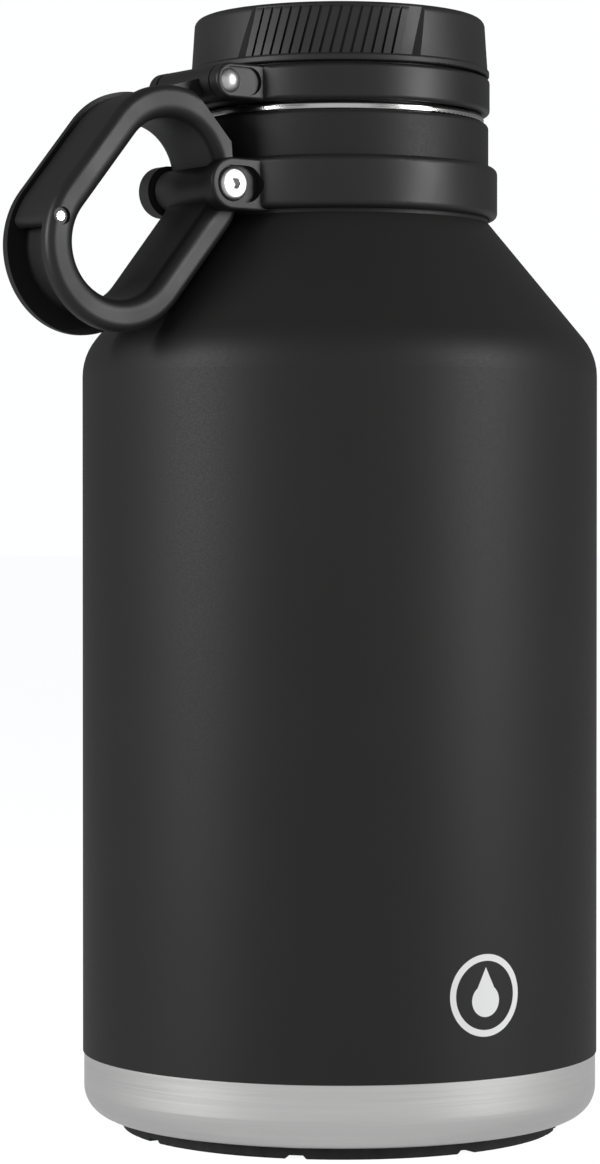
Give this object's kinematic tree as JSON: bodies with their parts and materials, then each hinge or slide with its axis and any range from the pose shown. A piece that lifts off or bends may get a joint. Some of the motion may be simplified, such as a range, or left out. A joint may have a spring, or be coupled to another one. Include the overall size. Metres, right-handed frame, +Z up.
{
  "type": "growler",
  "caption": "Vacuum-insulated steel growler with screw lid, neck collar, folding loop handle and a lid-tie arm.",
  "frame": {"origin": "centre of the foot's underside, on the bottle's axis", "axes": "+Z up along the bottle's axis, the handle stands out towards -X, hinge pins along Y"},
  "size_m": [0.1492, 0.122, 0.262],
  "materials": {
    "powder_coat": "matte",
    "brushed_steel": "satin",
    "port_seal": "matte",
    "foot_rubber": "matte",
    "inner_steel": "satin",
    "getter_metal": "matte",
    "mouth_steel": "polished",
    "black_plastic": "satin",
    "screw_steel": "satin",
    "pin_steel": "satin",
    "cap_plastic": "satin",
    "liner_plastic": "satin",
    "lid_foam": "matte",
    "gasket_silicone": "matte"
  },
  "bodies": {
    "bottle": {"outer_shell": "powder_coat", "outer_shoulder": "powder_coat", "outer_neck": "powder_coat", "base_band": "brushed_steel", "vacuum_seal": "port_seal", "foot_pad": "foot_rubber", "inner_vessel": "inner_steel", "inner_shoulder": "inner_steel", "inner_neck": "inner_steel", "inner_bottom": "inner_steel", "getter": "getter_metal", "mouth_ring": "mouth_steel", "carry_collar": "black_plastic", "hinge_screws": "screw_steel", "hinge_tube": "screw_steel"},
    "handle": {"handle": "black_plastic", "handle_pin": "pin_steel"},
    "lid_arm": {"lid_arm": "black_plastic"},
    "lid_ring": {"lid_ring": "black_plastic", "lid_rivet": "screw_steel"},
    "lid": {"lid_cap": "cap_plastic", "cap_liner": "liner_plastic", "lid_foam": "lid_foam", "lid_disc": "inner_steel", "gasket": "gasket_silicone"}
  },
  "joints": [
    {"name": "cap_rise", "type": "slide", "parent": "bottle", "child": "lid_ring", "axis": [0, 0, 1], "range_m": [0, 0.006]},
    {"name": "cap_turn", "type": "hinge", "parent": "lid_ring", "child": "lid", "pos_m": [0, 0, 0.25], "axis": [0, 0, 1], "range_deg": [0, 540]},
    {"name": "handle_hinge", "type": "hinge", "parent": "bottle", "child": "handle", "pos_m": [-0.0409, 0, 0.22], "axis": [0, 1, 0], "range_deg": [0, 9.42]},
    {"name": "arm_pin", "type": "hinge", "parent": "handle", "child": "lid_arm", "pos_m": [-0.08458, 0, 0.21072], "axis": [0, 1, 0], "range_deg": [-7.77, 0]}
  ],
  "couplings": [
    {"joint": "cap_rise", "follows": "cap_turn", "m_per_rad": 0.00063662},
    {"joint": "handle_hinge", "follows": "cap_turn", "ratio": 0.017414},
    {"joint": "arm_pin", "follows": "cap_turn", "ratio": -0.014356}
  ]
}
